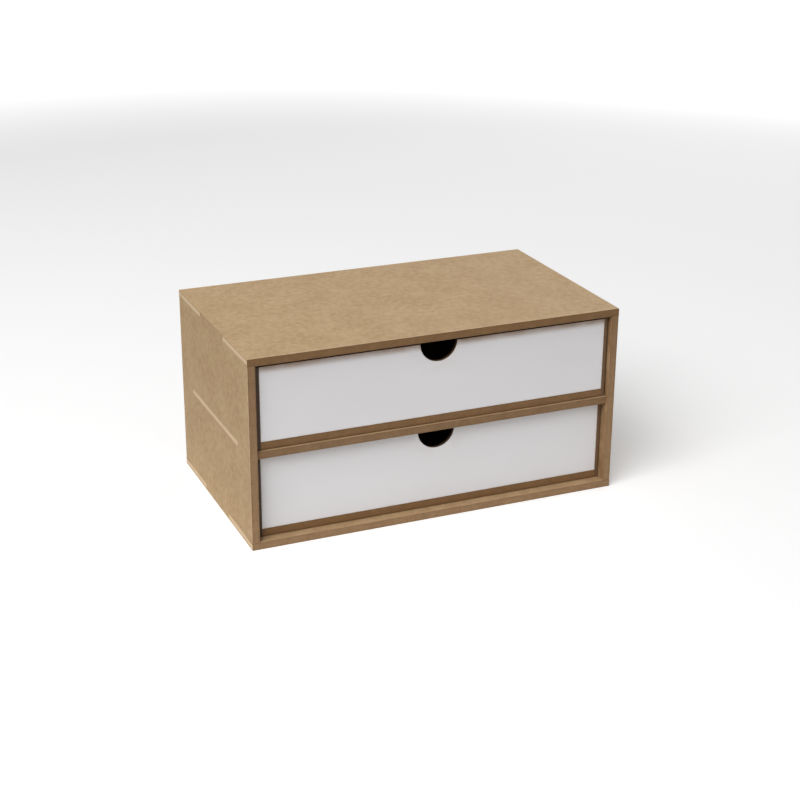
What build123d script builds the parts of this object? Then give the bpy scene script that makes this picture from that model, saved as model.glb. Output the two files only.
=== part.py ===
"""Tabletop chest with two drawers for disc cases, cut from flat board.

Millimetres, +Z up, +X to the right, the drawer fronts face -Y.
The origin is the middle of the underside of the case.
The case is 6 mm fibreboard: top and bottom run the full width, each side passes through them with one
tab, and the shelf passes through both sides. The drawers are thin hardboard walls, finger-jointed round
a 6 mm floor, with a white front let in between the walls.
"""
from build123d import *
import os

# Stock
board = 6.0               # fibreboard of the case, the shelf and the drawer floors
sheet = 3.0               # hardboard of the drawer walls, the fronts and the back
kerf = 0.12               # cutter's gap at the end of a tab
rear_slack = 0.5          # gap behind a tab of the case, whose boards are pushed together to the front
arris = 0.25              # broken edge round the boards of the case
thin_arris = 0.15         # broken edge round the boards of a drawer and the face of its front

# Case
case_width = 300.0
case_depth = 172.0
case_height = 150.0
side_tab = case_depth / 3           # tab of a side, through the top and the bottom
shelf_tab = case_depth * 2 / 3      # tab of the shelf, through a side
shelf_set_back = 2.2                # shelf's front edge behind the front of the case
shelf_base = 71.4                   # underside of the shelf above the ground

# Drawers
side_clearance = 1.0      # drawer to case, each side, when it stands in the middle
top_clearance = 1.2       # drawer to the shelf above the lower bay, the lower one of the two
run_clearance = 0.3       # drawer's runners to the board below them
floor_clearance = 0.5     # drawer's floor to the board below it
home_clearance = 0.5      # pushed-in drawer to the back of the case
home_set_back = 8.0       # pushed-in front behind the front of the case
upper_set_back = 3.9      # upper front as it stands, pulled out a little
upper_sideways = -0.1     # and how far it stands to the right of the middle
lower_set_back = home_set_back
lower_sideways = 0.4
notch_radius = 15.0       # half-round finger notch in the top edge of a front
floor_tab = 24.0          # tabs of a floor, through the walls
floor_tab_pitch = 52.0
floor_tab_count = 3
back_tab = 14.0           # tabs of a drawer's back, through the walls
back_tab_pitch = 30.0
back_tab_count = 2
foot_tab = 40.0           # tabs of a drawer's back, down through the floor
foot_tab_pitch = 92.0
foot_tab_count = 3

# Worked out from the above
half_width = case_width / 2
half_depth = case_depth / 2
inner_width = case_width - 2 * board
inner_height = case_height - 2 * board
slot_shift = (rear_slack - kerf) / 2       # middle of a slot behind the middle of its tab
shelf_middle = shelf_base + board / 2
bay_height = shelf_base - board
drawer_width = inner_width - 2 * side_clearance
drawer_depth = case_depth - sheet - home_clearance - home_set_back
wall_top = bay_height - top_clearance
wall_height = wall_top - run_clearance
floor_top = floor_clearance + board
tray_width = drawer_width - 2 * sheet
front_height = wall_top - floor_top

os.makedirs("parts", exist_ok=True)


def broad_face_edges(panel, axis):
    """Outer edges of the two broad faces of a board that lies square to the axis."""
    faces = panel.faces().filter_by(axis).sort_by(axis)
    return faces[0].outer_wire().edges() + faces[-1].outer_wire().edges()


def save(panel, name):
    """Name a finished piece and write it out."""
    panel.part.label = name
    export_step(panel.part, f"parts/{name}.step")


def make_end_panel(name, base):
    """Top or bottom of the case: full width, notched at both ends for the tabs of the sides."""
    with BuildPart() as panel:
        with BuildSketch(Plane.XY.offset(base)):
            Rectangle(case_width, case_depth)
            with Locations((0, slot_shift)):
                with GridLocations(case_width, 0, 2, 1):
                    Rectangle(2 * board, side_tab + kerf + rear_slack, mode=Mode.SUBTRACT)
        extrude(amount=board)
        chamfer(broad_face_edges(panel, Axis.Z), arris)
    save(panel, name)


def make_side(name, hand):
    """Side of the case, -1 the left and 1 the right: a tab up, a tab down and a slot for the shelf."""
    with BuildPart() as panel:
        with BuildSketch(Plane.YZ.offset(hand * half_width)):
            with Locations((0, case_height / 2)):
                Rectangle(case_depth, inner_height)
                Rectangle(side_tab, case_height)
            with Locations((slot_shift, shelf_middle)):
                Rectangle(shelf_tab + kerf + rear_slack, board, mode=Mode.SUBTRACT)
        extrude(amount=-hand * board)
        chamfer(broad_face_edges(panel, Axis.X), arris)
    save(panel, name)


# A drawer is built from its seat: the point of its bay's lower board under the middle of its front.

def make_wall(name, hand, seat):
    """Drawer wall: its lower edge is the runner, notched for the tabs of the floor and of the back."""
    outer_face = Plane(seat + (hand * drawer_width / 2, 0, 0), x_dir=(0, 1, 0), z_dir=(1, 0, 0))
    with BuildPart() as wall:
        with BuildSketch(outer_face):
            with Locations((drawer_depth / 2, run_clearance + wall_height / 2)):
                Rectangle(drawer_depth, wall_height)
            with Locations((drawer_depth / 2, 0)):
                with GridLocations(floor_tab_pitch, 0, floor_tab_count, 1):
                    Rectangle(floor_tab + 2 * kerf, 2 * floor_top, mode=Mode.SUBTRACT)
            with Locations((drawer_depth, floor_top + front_height / 2)):
                with GridLocations(0, back_tab_pitch, 1, back_tab_count):
                    Rectangle(2 * sheet, back_tab + 2 * kerf, mode=Mode.SUBTRACT)
        extrude(amount=-hand * sheet)
        chamfer(broad_face_edges(wall, Axis.X), thin_arris)
    save(wall, name)


def make_floor(name, seat):
    """Drawer floor: tabs through both walls, and notches at the rear for the feet of the back."""
    with BuildPart() as floor:
        with BuildSketch(Plane(seat + (0, 0, floor_clearance))):
            with Locations((0, drawer_depth / 2)):
                Rectangle(tray_width, drawer_depth)
                with GridLocations(0, floor_tab_pitch, 1, floor_tab_count):
                    Rectangle(drawer_width, floor_tab)
            with Locations((0, drawer_depth)):
                with GridLocations(foot_tab_pitch, 0, foot_tab_count, 1):
                    Rectangle(foot_tab + 2 * kerf, 2 * sheet, mode=Mode.SUBTRACT)
        extrude(amount=board)
        chamfer(broad_face_edges(floor, Axis.Z), thin_arris)
    save(floor, name)


def make_back_wall(name, seat):
    """Drawer back: tabs through both walls, and feet down through the floor."""
    rear_face = Plane(seat + (0, drawer_depth, 0), x_dir=(1, 0, 0), z_dir=(0, -1, 0))
    with BuildPart() as back_wall:
        with BuildSketch(rear_face):
            with Locations((0, floor_top + front_height / 2)):
                Rectangle(tray_width, front_height)
                with GridLocations(0, back_tab_pitch, 1, back_tab_count):
                    Rectangle(drawer_width, back_tab)
            with Locations((0, floor_clearance + board / 2)):
                with GridLocations(foot_tab_pitch, 0, foot_tab_count, 1):
                    Rectangle(foot_tab, board)
        extrude(amount=sheet)
        chamfer(broad_face_edges(back_wall, Axis.Y), thin_arris)
    save(back_wall, name)


def make_front(name, seat):
    """White drawer front: stands on the floor between the walls, with a half-round finger notch."""
    white_face = Plane(seat, x_dir=(1, 0, 0), z_dir=(0, -1, 0))
    with BuildPart() as front:
        with BuildSketch(white_face):
            with Locations((0, floor_top + front_height / 2)):
                Rectangle(tray_width, front_height)
            with Locations((0, wall_top)):
                Circle(notch_radius, mode=Mode.SUBTRACT)
        extrude(amount=-sheet)
        face_edges = front.faces().sort_by(Axis.Y)[0].outer_wire().edges()
        chamfer(face_edges, thin_arris)
    save(front, name)


# Case: bottom, top, two sides, shelf and back
make_end_panel("bottom_panel", 0)
make_end_panel("top_panel", case_height - board)
make_side("left_side", -1)
make_side("right_side", 1)

shelf_front = shelf_set_back - half_depth
shelf_rear = half_depth - sheet
with BuildPart() as shelf:
    with BuildSketch(Plane.XY.offset(shelf_base)):
        with Locations((0, (shelf_front + shelf_rear) / 2)):
            Rectangle(inner_width, shelf_rear - shelf_front)
        Rectangle(case_width, shelf_tab)
    extrude(amount=board)
    shelf_nose = shelf.faces().sort_by(Axis.Y)[0].edges().filter_by(Axis.X)
    chamfer(shelf_nose, arris)
save(shelf, "shelf")

with BuildPart() as back_panel:
    with BuildSketch(Plane.XZ.offset(-half_depth)):
        with Locations((0, case_height / 2)):
            Rectangle(inner_width, inner_height)
    extrude(amount=sheet)
save(back_panel, "back_panel")

# Two drawers, alike except for where they stand
for drawer, sideways, set_back, bay_floor in (
    ("upper", upper_sideways, upper_set_back, shelf_base + board),
    ("lower", lower_sideways, lower_set_back, board),
):
    seat = Vector(sideways, set_back - half_depth, bay_floor)
    make_front(f"{drawer}_front", seat)
    make_wall(f"{drawer}_left_wall", -1, seat)
    make_wall(f"{drawer}_right_wall", 1, seat)
    make_floor(f"{drawer}_floor", seat)
    make_back_wall(f"{drawer}_back_wall", seat)

print(f"drawer outside {drawer_width:.1f} x {drawer_depth:.1f} mm")
print(f"tray inside {tray_width:.1f} x {drawer_depth - 2 * sheet:.1f} x {front_height:.1f} mm")
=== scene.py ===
from collections import namedtuple
import math

import bpy
from mathutils import Matrix, Vector


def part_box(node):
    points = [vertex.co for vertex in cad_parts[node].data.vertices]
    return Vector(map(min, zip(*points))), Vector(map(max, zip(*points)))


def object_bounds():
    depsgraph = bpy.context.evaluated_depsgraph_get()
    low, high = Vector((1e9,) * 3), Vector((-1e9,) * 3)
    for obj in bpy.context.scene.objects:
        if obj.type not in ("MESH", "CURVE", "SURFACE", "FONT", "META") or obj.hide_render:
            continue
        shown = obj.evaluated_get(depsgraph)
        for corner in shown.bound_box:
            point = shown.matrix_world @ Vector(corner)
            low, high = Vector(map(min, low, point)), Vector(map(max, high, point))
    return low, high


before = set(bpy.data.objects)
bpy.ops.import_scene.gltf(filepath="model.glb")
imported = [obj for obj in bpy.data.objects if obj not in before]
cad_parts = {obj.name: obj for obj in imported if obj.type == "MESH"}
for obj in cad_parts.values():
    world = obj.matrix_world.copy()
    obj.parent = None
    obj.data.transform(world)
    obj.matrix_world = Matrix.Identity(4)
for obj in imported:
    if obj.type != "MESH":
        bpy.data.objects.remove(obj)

cad_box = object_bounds()

MM = 0.001
AXES = X, Y, Z = 0, 1, 2

# Camera, fitted to the corners of the case
VIEW_AZIMUTH = -23.24          # degrees, 0 looks along +Y
VIEW_ELEVATION = 21.82
VIEW_ROLL = 0.36
VIEW_DISTANCE = 1.3062
FOCAL_PIXELS = 1639.7
FRAME_PIXELS = 800
SENSOR = 36.0
AIM_RIGHT = 3.7 * MM           # aim point, seen from the camera, from the middle of the case
AIM_UP = -9.2 * MM

# Light: place, size and watts of each softbox
KEY_SOFTBOX = (-1.50, -1.05, 2.05), 1.9, 70.0
REAR_SOFTBOX = (1.70, 1.50, 0.75), 1.2, 9.0
SKY_LEVEL = 0.20               # light of the surroundings, which look white all the same

# Floor
FLOOR_HALF = 6.0               # half the side of the floor
FLOOR_TONE = 0.85              # the white sheet that the chest stands on
FAR_FLOOR_TONE = 0.25          # what the floor past the sheet throws back on the chest
SHEET_REACH = 0.5              # half the width of the sheet
SHEET_SOFTNESS = 0.4           # share of that over which its edge fades
SHEET_MIDDLE = (0.12, -0.10)
FLOOR_LIFT = 0.27              # what the camera adds to the floor, so that it shows as a white sheet
FLOOR_FADE = 1.3, 2.3          # where the floor starts to fade into the surroundings, and where it is lost

NOTCH_RADIUS = 15 * MM         # finger notch of a drawer front


def srgb(red, green, blue):
    """A colour in 0 to 255 as linear red, green, blue and alpha."""
    parts = []
    for part in (red, green, blue):
        part /= 255
        parts.append(part / 12.92 if part <= 0.04045 else ((part + 0.055) / 1.055) ** 2.4)
    return (*parts, 1.0)


def grey(level):
    """A grey of a linear level."""
    return (level, level, level, 1.0)


BOARD_LIGHT = srgb(196, 168, 130)
BOARD_DARK = srgb(167, 137, 98)
BOARD_SPECK = srgb(112, 84, 56)
BOARD_PALE_FIBRE = srgb(214, 190, 156)
# painted shade on the inner faces of the case, near its front and rear edges
BOARD_SHADED = srgb(122, 88, 55)
SANDED_CORE = srgb(224, 199, 164)
SEARED_EDGE = srgb(165, 131, 95)
SEARED_TOP_EDGE = srgb(138, 104, 67)
SEARED_SHELF_EDGE = srgb(144, 113, 79)
SEARED_STREAK = srgb(86, 60, 36)
HARDBOARD_LIGHT = srgb(156, 119, 84)
HARDBOARD_DARK = srgb(128, 94, 64)
HARDBOARD_EDGE = srgb(118, 92, 66)
# dark scorched cut of a white front; on the drawers' left walls it is painted shade, for the shadow of the
# case's left side
SCORCHED_AND_SHADED_EDGE = srgb(56, 40, 24)
WHITE_FACE = srgb(237, 235, 236)
WHITE_SOIL = srgb(205, 193, 178)
# painted shadow along the top of a white face, under the overhang above it
WHITE_SHADOWED = srgb(184, 160, 142)

# Noise: size of a lump, the levels at which the pattern starts and is full, and how far it is drawn out
Pattern = namedtuple("Pattern", "size low high detail warp stretch", defaults=(0, 1, 2, 0, 1))
BOARD_CLOUDS = Pattern(30 * MM, 0.34, 0.66)
BOARD_BLOTCHES = Pattern(5 * MM, 0.32, 0.68, detail=4, warp=0.5)
BOARD_FELT = Pattern(0.8 * MM, 0.30, 0.70, warp=0.7, stretch=2.4)
SPECK_SCATTER = Pattern(17 * MM, 0.40, 0.62)
EDGE_STREAKS = Pattern(0.7 * MM, 0.34, 0.68, detail=3, stretch=14)
EDGE_DRIFT = Pattern(11 * MM, 0.30, 0.70)
EDGE_LAYERS = Pattern(0.9 * MM, 0.35, 0.65, stretch=9)
INNER_SHADE_DRIFT = Pattern(16 * MM, 0.35, 0.65, detail=3)
ARRIS_WEAR_AND_HIGHLIGHT = Pattern(7 * MM, 0.40, 0.70)
CORE_GRAIN = Pattern(1.4 * MM, 0.30, 0.70, detail=3)
HARDBOARD_CLOUDS = Pattern(18 * MM, 0.35, 0.65, detail=4, warp=0.4)
HARDBOARD_FELT = Pattern(0.45 * MM, 0.35, 0.70, warp=1, stretch=6)
COAT_CLOUDS = Pattern(40 * MM, 0.30, 0.70, detail=3)
COAT_PEEL = Pattern(1.1 * MM, detail=1)
RIM_DRIFT = Pattern(3 * MM, 0.30, 0.70)
FINGER_MARKS = Pattern(9 * MM, 0.40, 0.75, detail=3)
TOP_SHADOW_DRIFT = Pattern(14 * MM, 0.30, 0.70, detail=3)

# Specks: spacing, the shares of it at which a speck ends and is full, and how far it is drawn out
Specks = namedtuple("Specks", "spacing rim middle stretch")
DARK_SPECKS = Specks(4.2 * MM, 0.17, 0.08, 1.7)
PALE_CHIPS = Specks(3.1 * MM, 0.16, 0.07, 1.9)

# Bands: the distance from an edge or a face at which a mark starts, and the one at which it is full
BOARD_CUT = 0.20 * MM, 0.05 * MM         # cut edge of a 6 mm board
HARDBOARD_CUT = 0.12 * MM, 0.03 * MM
SKIN_BAND = 1.5 * MM, 0.2 * MM           # dark skins of a board, seen on its cut edge
CORE_BAND = 0.2 * MM, 2.7 * MM           # pale core between them, on a sanded end
INNER_BAND = 2 * MM, 4 * MM              # how far a face lies inside the case's outline
# painted shade on the inner faces of the case, near its front and rear edges
INNER_SHADE_BAND = 22 * MM, 5 * MM
# pale outer arrises: partly rubbed wear, partly painted highlight
RUBBED_HIGHLIGHT_BAND = 1.5 * MM, 0.3 * MM
SIDE_PAINTED_SHADE_BAND = 60 * MM, 150 * MM      # height over which the cut edge of a side darkens with painted shade
RIM_BAND = 1.6 * MM, 0.1 * MM
FINGER_BAND = 16 * MM, 1 * MM
COAT_DEPTH = 0.16 * MM, 0.22 * MM        # behind the white face, where the bare board begins
REAR_BAND = 0.08 * MM, 0.02 * MM
# painted shadow along the top of a white face: where it is full, and how far down it reaches on each drawer
TOP_SHADOW_FULL = 0.5 * MM
TOP_SHADOW_REACH = {"upper": 6 * MM, "lower": 2 * MM}

# Shares: how strongly each mark shows
CLOUD_SHARE = 0.22
BLOTCH_SHARE = 0.40
FELT_SHARE = 0.38
SPECK_SHARE = 0.62
CHIP_SHARE = 0.45
STREAK_SHARE = 0.13
LAYER_SHARE = 0.16
DRIFT_SHARE = 0.10
SKIN_SHARE = 0.16
# how strongly the pale arrises show, partly wear and partly painted highlight
RUBBED_HIGHLIGHT_SHARE = 0.7
RUBBED_HIGHLIGHT_LEAST = 0.35
# how strongly the painted shade inside the case shows on the sides and on the level boards, and its least
# share
SIDE_INNER_SHADE = 0.85
LEVEL_INNER_SHADE = 0.42
INNER_SHADE_LEAST = 0.6
# how strongly the painted shade darkens the top of a side's cut edge
SIDE_PAINTED_SHADE = 0.20
GRAIN_SHARE = 0.25
HARDBOARD_CLOUD_SHARE = 0.20
HARDBOARD_FELT_SHARE = 0.80
RIM_SHARE = 0.35
FINGER_SHARE = 0.12
COAT_CLOUD_SHARE = 0.04
# least share of the painted shadow along the top of a white face
TOP_SHADOW_LEAST = 0.7

# Relief, roughness and shine
BOARD_RELIEF = 0.05 * MM
HARDBOARD_RELIEF = 0.03 * MM
COAT_RELIEF = 0.02 * MM
BOARD_ROUGHNESS = 0.62, 0.16             # of the smoothest spots, and what felt adds to it
HARDBOARD_ROUGHNESS = 0.46, 0.20
COAT_ROUGHNESS = 0.34
COAT_CLOUD_ROUGHNESS = 0.08
COAT_SMOKE_ROUGHNESS = 0.10
CORE_ROUGHNESS = 0.6
BOARD_SHINE = 0.35
HARDBOARD_SHINE = 0.45
COAT_SHINE = 0.30

# Where in the patterns the first piece lies, and the step from one piece to the next
PIECE_START = 0.11, 0.0, 0.07
PIECE_STEP = 0.37, 0.53, 0.29


# Shader maths

class Value:
    """A number that varies over a surface. Arithmetic on it adds Math nodes."""

    def __init__(self, nodes, socket):
        self.nodes = nodes
        self.socket = socket

    def maths(self, operation, *numbers):
        return self.nodes.add("ShaderNodeMath", {"operation": operation}, dict(enumerate(numbers)))

    def __add__(self, other):
        return self.maths("ADD", self, other)

    def __sub__(self, other):
        return self.maths("SUBTRACT", self, other)

    def __rsub__(self, other):
        return self.maths("SUBTRACT", other, self)

    def __mul__(self, other):
        return self.maths("MULTIPLY", self, other)

    def __pow__(self, other):
        return self.maths("POWER", self, other)

    __radd__ = __add__
    __rmul__ = __mul__

    def least(self, other):
        return self.maths("MINIMUM", self, other)

    def most(self, other):
        return self.maths("MAXIMUM", self, other)

    def step(self, low, high):
        """0 below low and 1 above high, with a smooth way between them; low may be above high."""
        settings = {"interpolation_type": "SMOOTHSTEP", "clamp": True}
        values = {"Value": self, "From Min": low, "From Max": high}
        return self.nodes.add("ShaderNodeMapRange", settings, values)

    def lifted(self, level):
        """0 to 1 squeezed into level to 1."""
        return level + self * (1 - level)

    def blend(self, first, second):
        """first where this is 0, second where it is 1."""
        return first * (1 - self) + self * second


def distance(one_way, other_way):
    """Length of the line whose parts along two axes are given."""
    return (one_way ** 2 + other_way ** 2) ** 0.5


class Nodes:
    """A tree of shader nodes, empty at first."""

    def __init__(self, tree):
        self.tree = tree
        tree.nodes.clear()

    def add(self, kind, settings, values, output=0):
        """Add one node: its settings first, then the values or links of its sockets."""
        made = self.tree.nodes.new(kind)
        for setting, choice in settings.items():
            setattr(made, setting, choice)
        for socket, value in values.items():
            if isinstance(value, Value):
                self.tree.links.new(value.socket, made.inputs[socket])
            else:
                made.inputs[socket].default_value = value
        return Value(self, made.outputs[output]) if made.outputs else None

    def rays(self, kind):
        """1 for rays of one kind, 0 for the others."""
        return self.add("ShaderNodeLightPath", {}, {}, f"Is {kind} Ray")


class Finish(Nodes):
    """A procedural material, in the object coordinates of the piece that wears it."""

    def __init__(self, name):
        self.material = bpy.data.materials.new(name)
        self.material.use_nodes = True
        super().__init__(self.material.node_tree)
        self.place = self.add("ShaderNodeTexCoord", {}, {}, "Object")
        self.along = [self.add("ShaderNodeSeparateXYZ", {}, {"Vector": self.place}, axis) for axis in "XYZ"]
        self.x, self.y, self.z = self.along

    def moved(self, shift, stretch, drawn_along):
        """Place in a pattern that is moved by shift and drawn out along some axes."""
        squeeze = [1 / stretch if axis in drawn_along else 1.0 for axis in AXES]
        values = {"Vector": self.place, "Location": shift, "Scale": squeeze}
        return self.add("ShaderNodeMapping", {}, values)

    def noise(self, kind, shift, drawn_along=()):
        """Noise of one kind, as it comes."""
        place = self.moved(shift, kind.stretch, drawn_along)
        values = {"Vector": place, "Scale": 1 / kind.size, "Detail": kind.detail, "Distortion": kind.warp}
        return self.add("ShaderNodeTexNoise", {}, values)

    def pattern(self, kind, shift, drawn_along=()):
        """Noise of one kind with its contrast, from 0 to 1."""
        return self.noise(kind, shift, drawn_along).step(kind.low, kind.high)

    def specks(self, kind, shift, drawn_along):
        """Scattered specks of one kind: 1 in the middle of a speck, 0 between them."""
        place = self.moved(shift, kind.stretch, drawn_along)
        values = {"Vector": place, "Scale": 1 / kind.spacing}
        return self.add("ShaderNodeTexVoronoi", {"feature": "F1"}, values).step(kind.rim, kind.middle)

    def mix(self, share, first, second):
        """Colour between first and second."""
        settings = {"data_type": "RGBA", "clamp_factor": True}
        return self.add("ShaderNodeMix", settings, {0: share, 6: first, 7: second}, 2)

    def bump(self, height, depth):
        """Normal of a relief whose height goes from 0 to 1 over depth metres."""
        return self.add("ShaderNodeBump", {}, {"Height": height, "Distance": depth, "Strength": 1.0})

    def surface(self, colour, roughness, normal, shine):
        """Join everything to the surface and hand over the material."""
        values = {"Base Color": colour, "Roughness": roughness, "Normal": normal, "Specular IOR Level": shine}
        shader = self.add("ShaderNodeBsdfPrincipled", {}, values)
        self.add("ShaderNodeOutputMaterial", {}, {"Surface": shader})
        return self.material


# Places on a board. Its thickness lies along the axis "across".

def piece_shift(node):
    """A place in the patterns that is the board's own, so that no two boards look alike."""
    number = sorted(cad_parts).index(node)
    return tuple(step * number + start for step, start in zip(PIECE_STEP, PIECE_START))


def in_plane(across):
    """The two axes of the broad faces."""
    return [axis for axis in AXES if axis != across]


def gap_to_box(finish, box, axis):
    """Distance from a surface point to the nearer side of a box along one axis."""
    low, high = box
    place = finish.along[axis]
    return (place - low[axis]).least(high[axis] - place)


def gap_to_ends(finish, node, axis):
    """Distance from a surface point to the nearer end of the board along one axis."""
    return gap_to_box(finish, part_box(node), axis)


def gap_to_outline(finish, node, across):
    """Distance from a surface point to the nearest side of the board's outline."""
    first, second = in_plane(across)
    return gap_to_ends(finish, node, first).least(gap_to_ends(finish, node, second))


def inside_case(finish, node, across):
    """1 on a face that looks into the case, 0 on an outer face."""
    if node == "shelf":
        return 1
    return gap_to_box(finish, cad_box, across).step(*INNER_BAND)


# Finishes

def felted(finish, node, across, kind):
    """Fibres that lie both ways in the broad faces."""
    shift = piece_shift(node)
    first, second = in_plane(across)
    lengthwise = finish.pattern(kind, shift, [first])
    crosswise = finish.pattern(kind, shift, [second])
    return lengthwise * 0.5 + crosswise * 0.5


def fibreboard_face(finish, node, across):
    """Raw fibreboard: soft clouds, blotches, felted fibres, dark specks and pale chips.

    Returns its colour and its felt.
    """
    shift = piece_shift(node)
    first, second = in_plane(across)
    clouds = finish.pattern(BOARD_CLOUDS, shift)
    blotches = finish.pattern(BOARD_BLOTCHES, shift)
    felt = felted(finish, node, across, BOARD_FELT)
    tone = clouds * CLOUD_SHARE + blotches * BLOTCH_SHARE + felt * FELT_SHARE
    colour = finish.mix(tone, BOARD_DARK, BOARD_LIGHT)
    specks = finish.specks(DARK_SPECKS, shift, [first])
    chips = finish.specks(PALE_CHIPS, shift, [second])
    scatter = finish.pattern(SPECK_SCATTER, shift)
    colour = finish.mix(specks * scatter * SPECK_SHARE, colour, BOARD_SPECK)
    colour = finish.mix(chips * CHIP_SHARE, colour, BOARD_PALE_FIBRE)
    return colour, felt


def seared_edge(finish, node, across, tone):
    """Edge as the cutting beam left it: brown, with fine streaks through the thickness of the board.

    Returns its colour and its streaks.
    """
    shift = piece_shift(node)
    streaks = finish.pattern(EDGE_STREAKS, shift, [across])
    drift = finish.pattern(EDGE_DRIFT, shift)
    layers = finish.pattern(EDGE_LAYERS, shift, in_plane(across))
    skins = gap_to_ends(finish, node, across).step(*SKIN_BAND)
    dark = streaks * STREAK_SHARE + layers * LAYER_SHARE + drift * DRIFT_SHARE + skins * SKIN_SHARE
    return finish.mix(dark, tone, SEARED_STREAK), streaks


def case_board(finish, node, across, edge_tone, inner_shade_share):
    """Board of the case, seared in front and at the rear: painted shade near there inside, and pale along the
    outer arrises, partly wear and partly painted highlight.

    Returns the colour of its faces, the colour of its cut edges, where these are, its felt and its relief.
    """
    shift = piece_shift(node)
    face, felt = fibreboard_face(finish, node, across)
    edge, streaks = seared_edge(finish, node, across, edge_tone)
    gap = gap_to_ends(finish, node, Y)
    seared = gap.step(*BOARD_CUT)
    inward = inside_case(finish, node, across)
    # painted shade on the inner faces, near the front and rear edges
    inner_shade = gap.step(*INNER_SHADE_BAND) * finish.pattern(INNER_SHADE_DRIFT, shift).lifted(INNER_SHADE_LEAST)
    # pale outer arrises: partly rubbed wear, partly painted highlight
    rubbed_and_highlit = gap.step(*RUBBED_HIGHLIGHT_BAND) * finish.pattern(ARRIS_WEAR_AND_HIGHLIGHT, shift).lifted(RUBBED_HIGHLIGHT_LEAST)
    colour = finish.mix(rubbed_and_highlit * (1 - inward) * RUBBED_HIGHLIGHT_SHARE, face, BOARD_PALE_FIBRE)
    colour = finish.mix(inner_shade * inward * inner_shade_share, colour, BOARD_SHADED)
    relief = finish.bump(seared.blend(felt, streaks), BOARD_RELIEF)
    return colour, edge, seared, felt, relief


def fibreboard(finish, colour, felt, relief):
    """Material of a 6 mm board."""
    least, added = BOARD_ROUGHNESS
    return finish.surface(colour, least + felt * added, relief, BOARD_SHINE)


def case_side(node):
    """Side of the case, whose cut edges darken towards the top with painted shade."""
    finish = Finish("fibreboard_" + node)
    colour, edge, seared, felt, relief = case_board(finish, node, X, SEARED_EDGE, SIDE_INNER_SHADE)
    # painted shade: the cut edges darker towards the top
    edge = finish.mix(finish.z.step(*SIDE_PAINTED_SHADE_BAND) * SIDE_PAINTED_SHADE, edge, SEARED_STREAK)
    return fibreboard(finish, finish.mix(seared, colour, edge), felt, relief)


def case_level(node, edge_tone):
    """Level board of the case, with pale sanded ends at the left and right."""
    finish = Finish("fibreboard_" + node)
    colour, edge, seared, felt, relief = case_board(finish, node, Z, edge_tone, LEVEL_INNER_SHADE)
    end = gap_to_ends(finish, node, X).step(*BOARD_CUT)
    core = gap_to_ends(finish, node, Z).step(*CORE_BAND)
    grain = finish.pattern(CORE_GRAIN, piece_shift(node))
    colour = finish.mix(end * core * (1 - GRAIN_SHARE * grain), colour, SANDED_CORE)
    return fibreboard(finish, finish.mix(seared, colour, edge), felt, relief)


def drawer_floor(node):
    """Fibreboard floor of a drawer, seared all round."""
    finish = Finish("fibreboard_" + node)
    face, felt = fibreboard_face(finish, node, Z)
    edge, streaks = seared_edge(finish, node, Z, SEARED_TOP_EDGE)
    seared = gap_to_outline(finish, node, Z).step(*BOARD_CUT)
    relief = finish.bump(seared.blend(felt, streaks), BOARD_RELIEF)
    return fibreboard(finish, finish.mix(seared, face, edge), felt, relief)


def hardboard(node, across, edge_tone=HARDBOARD_EDGE):
    """Brown hardboard: a pressed, slightly glossy skin with darker seared edges."""
    finish = Finish("hardboard_" + node)
    clouds = finish.pattern(HARDBOARD_CLOUDS, piece_shift(node))
    felt = felted(finish, node, across, HARDBOARD_FELT)
    tone = clouds * HARDBOARD_CLOUD_SHARE + felt * HARDBOARD_FELT_SHARE
    face = finish.mix(tone, HARDBOARD_DARK, HARDBOARD_LIGHT)
    edge, streaks = seared_edge(finish, node, across, edge_tone)
    seared = gap_to_outline(finish, node, across).step(*HARDBOARD_CUT)
    relief = finish.bump(seared.blend(felt, streaks), HARDBOARD_RELIEF)
    least, added = HARDBOARD_ROUGHNESS
    return finish.surface(finish.mix(seared, face, edge), least + felt * added, relief, HARDBOARD_SHINE)


def white_front(node, top_shadow_reach):
    """White coated face on a thin brown board, with smoke stains along its cuts, a little soiled by fingers,
    and a painted shadow along its top.
    """
    finish = Finish("white_" + node)
    shift = piece_shift(node)
    low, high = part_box(node)
    from_notch = distance(finish.x - (low.x + high.x) / 2, finish.z - high.z) - NOTCH_RADIUS
    rim = gap_to_outline(finish, node, Y).least(from_notch)
    clouds = finish.pattern(COAT_CLOUDS, shift)
    smoke = rim.step(*RIM_BAND) * finish.pattern(RIM_DRIFT, shift)
    fingers = from_notch.step(*FINGER_BAND) * finish.pattern(FINGER_MARKS, shift)
    soil = smoke * RIM_SHARE + fingers * FINGER_SHARE + clouds * COAT_CLOUD_SHARE
    coat = finish.mix(soil, WHITE_FACE, WHITE_SOIL)
    # painted shadow under the overhang, along the top of the white face
    top_shadow_drift = finish.pattern(TOP_SHADOW_DRIFT, shift).lifted(TOP_SHADOW_LEAST)
    top_shadow = (high.z - finish.z).step(top_shadow_reach, TOP_SHADOW_FULL) * top_shadow_drift
    coat = finish.mix(top_shadow, coat, WHITE_SHADOWED)
    cut, streaks = seared_edge(finish, node, Y, SCORCHED_AND_SHADED_EDGE)
    rear = (high.y - finish.y).step(*REAR_BAND)
    core = finish.mix(rear, cut, HARDBOARD_LIGHT)
    body = (finish.y - low.y).step(*COAT_DEPTH)
    relief = finish.bump(body.blend(finish.noise(COAT_PEEL, shift), streaks), COAT_RELIEF)
    coat_roughness = COAT_ROUGHNESS + clouds * COAT_CLOUD_ROUGHNESS + smoke * COAT_SMOKE_ROUGHNESS
    roughness = body.blend(coat_roughness, CORE_ROUGHNESS)
    return finish.surface(finish.mix(body, coat, core), roughness, relief, COAT_SHINE)


def wear(node, material):
    """Give a node its finish."""
    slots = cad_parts[node].data.materials
    slots.clear()
    slots.append(material)


# Stage, light and camera

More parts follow.
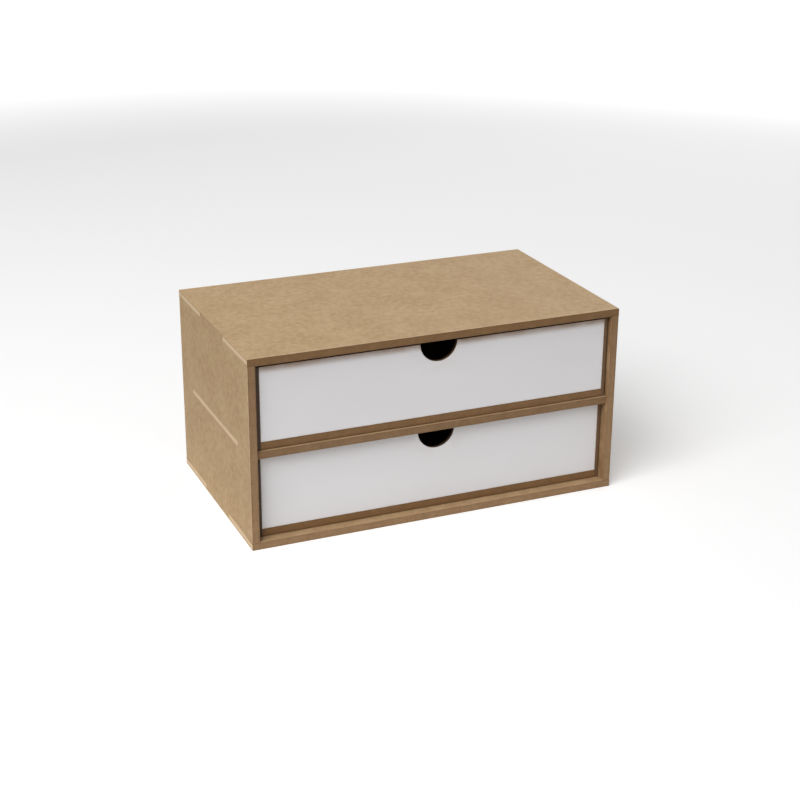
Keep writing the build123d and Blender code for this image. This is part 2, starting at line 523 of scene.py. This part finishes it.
def lay_floor():
    """White sheet under the chest, which keeps its soft shadow."""
    mesh = bpy.data.meshes.new("floor_sheet")
    corners = [(FLOOR_HALF * x, FLOOR_HALF * y, 0) for x, y in ((-1, -1), (1, -1), (1, 1), (-1, 1))]
    mesh.from_pydata(corners, [], [(0, 1, 2, 3)])
    sheet = bpy.data.objects.new("floor_sheet", mesh)
    bpy.context.scene.collection.objects.link(sheet)
    finish = Finish("white_sheet")
    seen = finish.rays("Camera")
    aside, ahead = SHEET_MIDDLE
    reach = distance(finish.x - aside, finish.y - ahead)
    near = reach.step(SHEET_REACH * (1 + SHEET_SOFTNESS), SHEET_REACH * (1 - SHEET_SOFTNESS))
    tone = finish.mix(near.most(seen), grey(FAR_FLOOR_TONE), grey(FLOOR_TONE))
    paper = finish.add("ShaderNodeBsdfDiffuse", {}, {"Color": tone})
    glow = reach.step(*FLOOR_FADE).lifted(FLOOR_LIFT)
    lift = finish.add("ShaderNodeEmission", {}, {"Strength": seen * glow})
    both = finish.add("ShaderNodeAddShader", {}, {0: paper, 1: lift})
    finish.add("ShaderNodeOutputMaterial", {}, {"Surface": both})
    mesh.materials.append(finish.material)


def light_sky():
    """Even white surroundings, full white only where they are looked at or mirrored."""
    world = bpy.data.worlds.new("studio")
    world.use_nodes = True
    bpy.context.scene.world = world
    nodes = Nodes(world.node_tree)
    seen = nodes.rays("Camera").most(nodes.rays("Glossy").most(nodes.rays("Transmission")))
    sky = nodes.add("ShaderNodeBackground", {}, {"Color": grey(1), "Strength": seen.lifted(SKY_LEVEL)})
    nodes.add("ShaderNodeOutputWorld", {}, {"Surface": sky})


def hang_softbox(name, place, size, watts):
    """Square soft lamp aimed at the middle of the chest."""
    lamp = bpy.data.lights.new(name, "AREA")
    lamp.shape = "SQUARE"
    lamp.size = size
    lamp.energy = watts
    hung = bpy.data.objects.new(name, lamp)
    bpy.context.scene.collection.objects.link(hung)
    hung.location = place
    middle = (cad_box[0] + cad_box[1]) / 2
    hung.rotation_euler = (middle - Vector(place)).to_track_quat("-Z", "Y").to_euler()


def set_camera():
    """Camera at the angle from which the chest was photographed."""
    azimuth, elevation, roll = (math.radians(angle) for angle in (VIEW_AZIMUTH, VIEW_ELEVATION, VIEW_ROLL))
    level = math.cos(elevation)
    back = Vector((math.sin(azimuth) * level, -math.cos(azimuth) * level, math.sin(elevation)))
    right = Vector((math.cos(azimuth), math.sin(azimuth), 0))
    up = back.cross(right)
    aim = (cad_box[0] + cad_box[1]) / 2 + right * AIM_RIGHT + up * AIM_UP
    rolled_right = right * math.cos(roll) + up * math.sin(roll)
    rolled_up = up * math.cos(roll) - right * math.sin(roll)
    lens = bpy.data.cameras.new("photo_view")
    lens.sensor_width = SENSOR
    lens.lens = SENSOR * FOCAL_PIXELS / FRAME_PIXELS
    camera = bpy.data.objects.new("photo_view", lens)
    bpy.context.scene.collection.objects.link(camera)
    turn = Matrix((rolled_right, rolled_up, back)).transposed().to_4x4()
    camera.matrix_world = Matrix.Translation(aim + back * VIEW_DISTANCE) @ turn
    bpy.context.scene.camera = camera


set_camera()
light_sky()
hang_softbox("key_softbox", *KEY_SOFTBOX)
hang_softbox("rear_softbox", *REAR_SOFTBOX)
lay_floor()
bpy.context.scene.view_settings.view_transform = "Standard"

# Dress the case, then both drawers
wear("top_panel", case_level("top_panel", SEARED_TOP_EDGE))
wear("bottom_panel", case_level("bottom_panel", SEARED_EDGE))
wear("shelf", case_level("shelf", SEARED_SHELF_EDGE))
wear("left_side", case_side("left_side"))
wear("right_side", case_side("right_side"))
wear("back_panel", hardboard("back_panel", Y))
# each drawer with the reach of the painted shadow along the top of its front
for drawer, shadow_reach in TOP_SHADOW_REACH.items():
    wear(f"{drawer}_front", white_front(f"{drawer}_front", shadow_reach))
    wear(f"{drawer}_floor", drawer_floor(f"{drawer}_floor"))
    # painted shade: the left wall's edge takes the dark tone, for the shadow of the case's left side
    wear(f"{drawer}_left_wall", hardboard(f"{drawer}_left_wall", X, SCORCHED_AND_SHADED_EDGE))
    wear(f"{drawer}_right_wall", hardboard(f"{drawer}_right_wall", X))
    wear(f"{drawer}_back_wall", hardboard(f"{drawer}_back_wall", Y))
